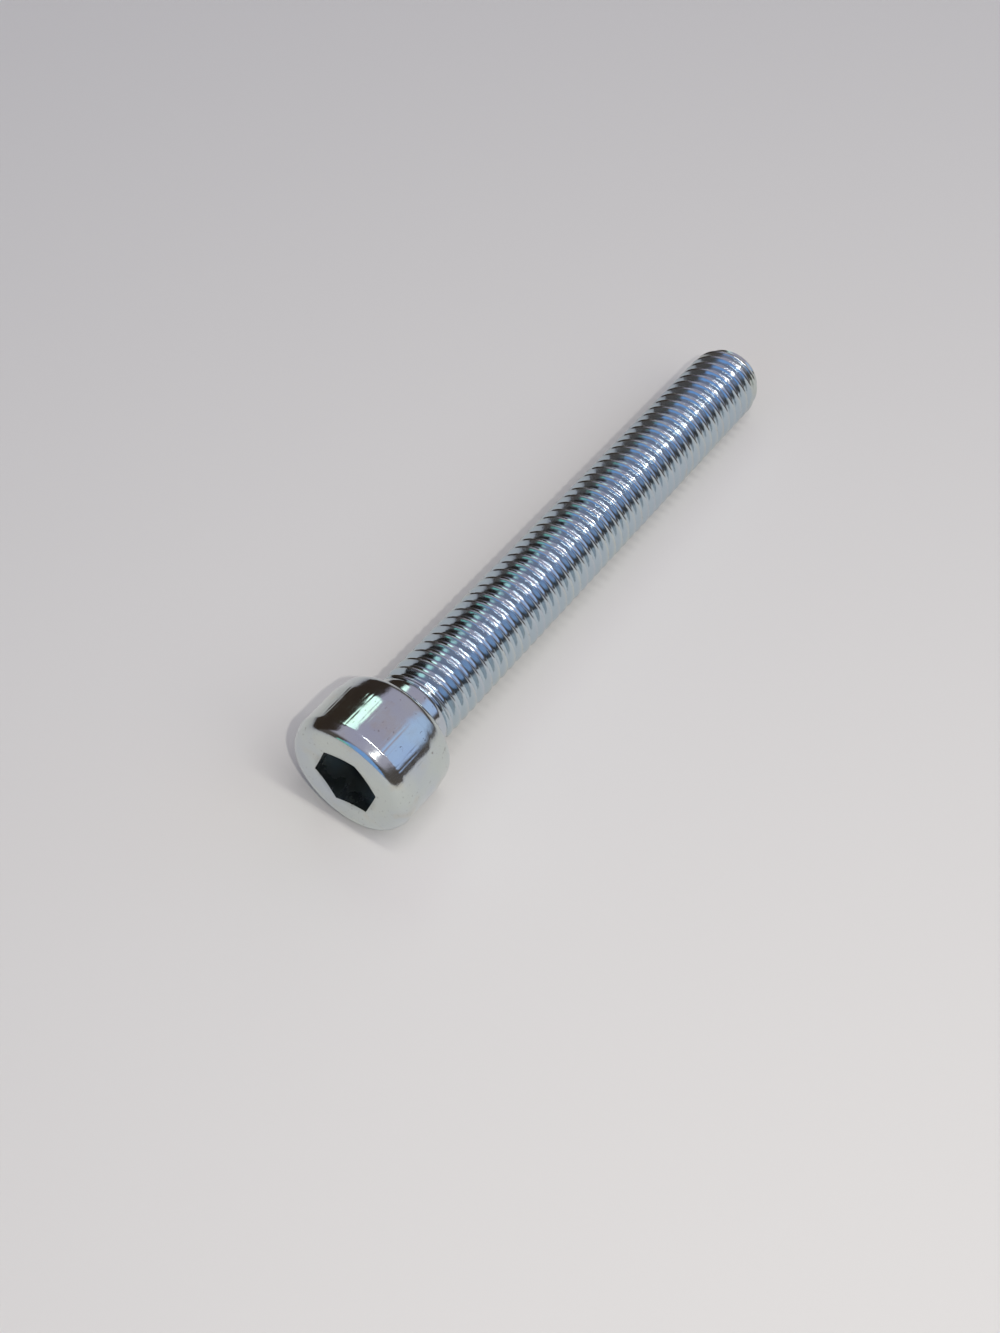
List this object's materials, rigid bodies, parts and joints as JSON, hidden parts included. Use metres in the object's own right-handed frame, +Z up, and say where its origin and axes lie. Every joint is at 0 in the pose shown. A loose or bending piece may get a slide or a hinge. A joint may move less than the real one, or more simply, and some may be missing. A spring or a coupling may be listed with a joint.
{
  "type": "hex socket cap screw",
  "caption": "Socket head cap screw with a straight-knurled cylindrical head, a hexagon socket and a fully threaded shank, lying on its side.",
  "frame": {"origin": "centre of the bearing face under the head, on the screw's axis", "axes": "+X runs from the head towards the tip along the floor, +Z is up; the screw's own axis dips 2.34 degrees below +X towards the tip, because the head is wider than the shank"},
  "size_m": [0.0683, 0.0128, 0.013],
  "materials": {
    "zinc_plate": "bright bluish zinc plate"
  },
  "bodies": {
    "root": {"cap_screw": "zinc_plate"}
  },
  "joints": []
}
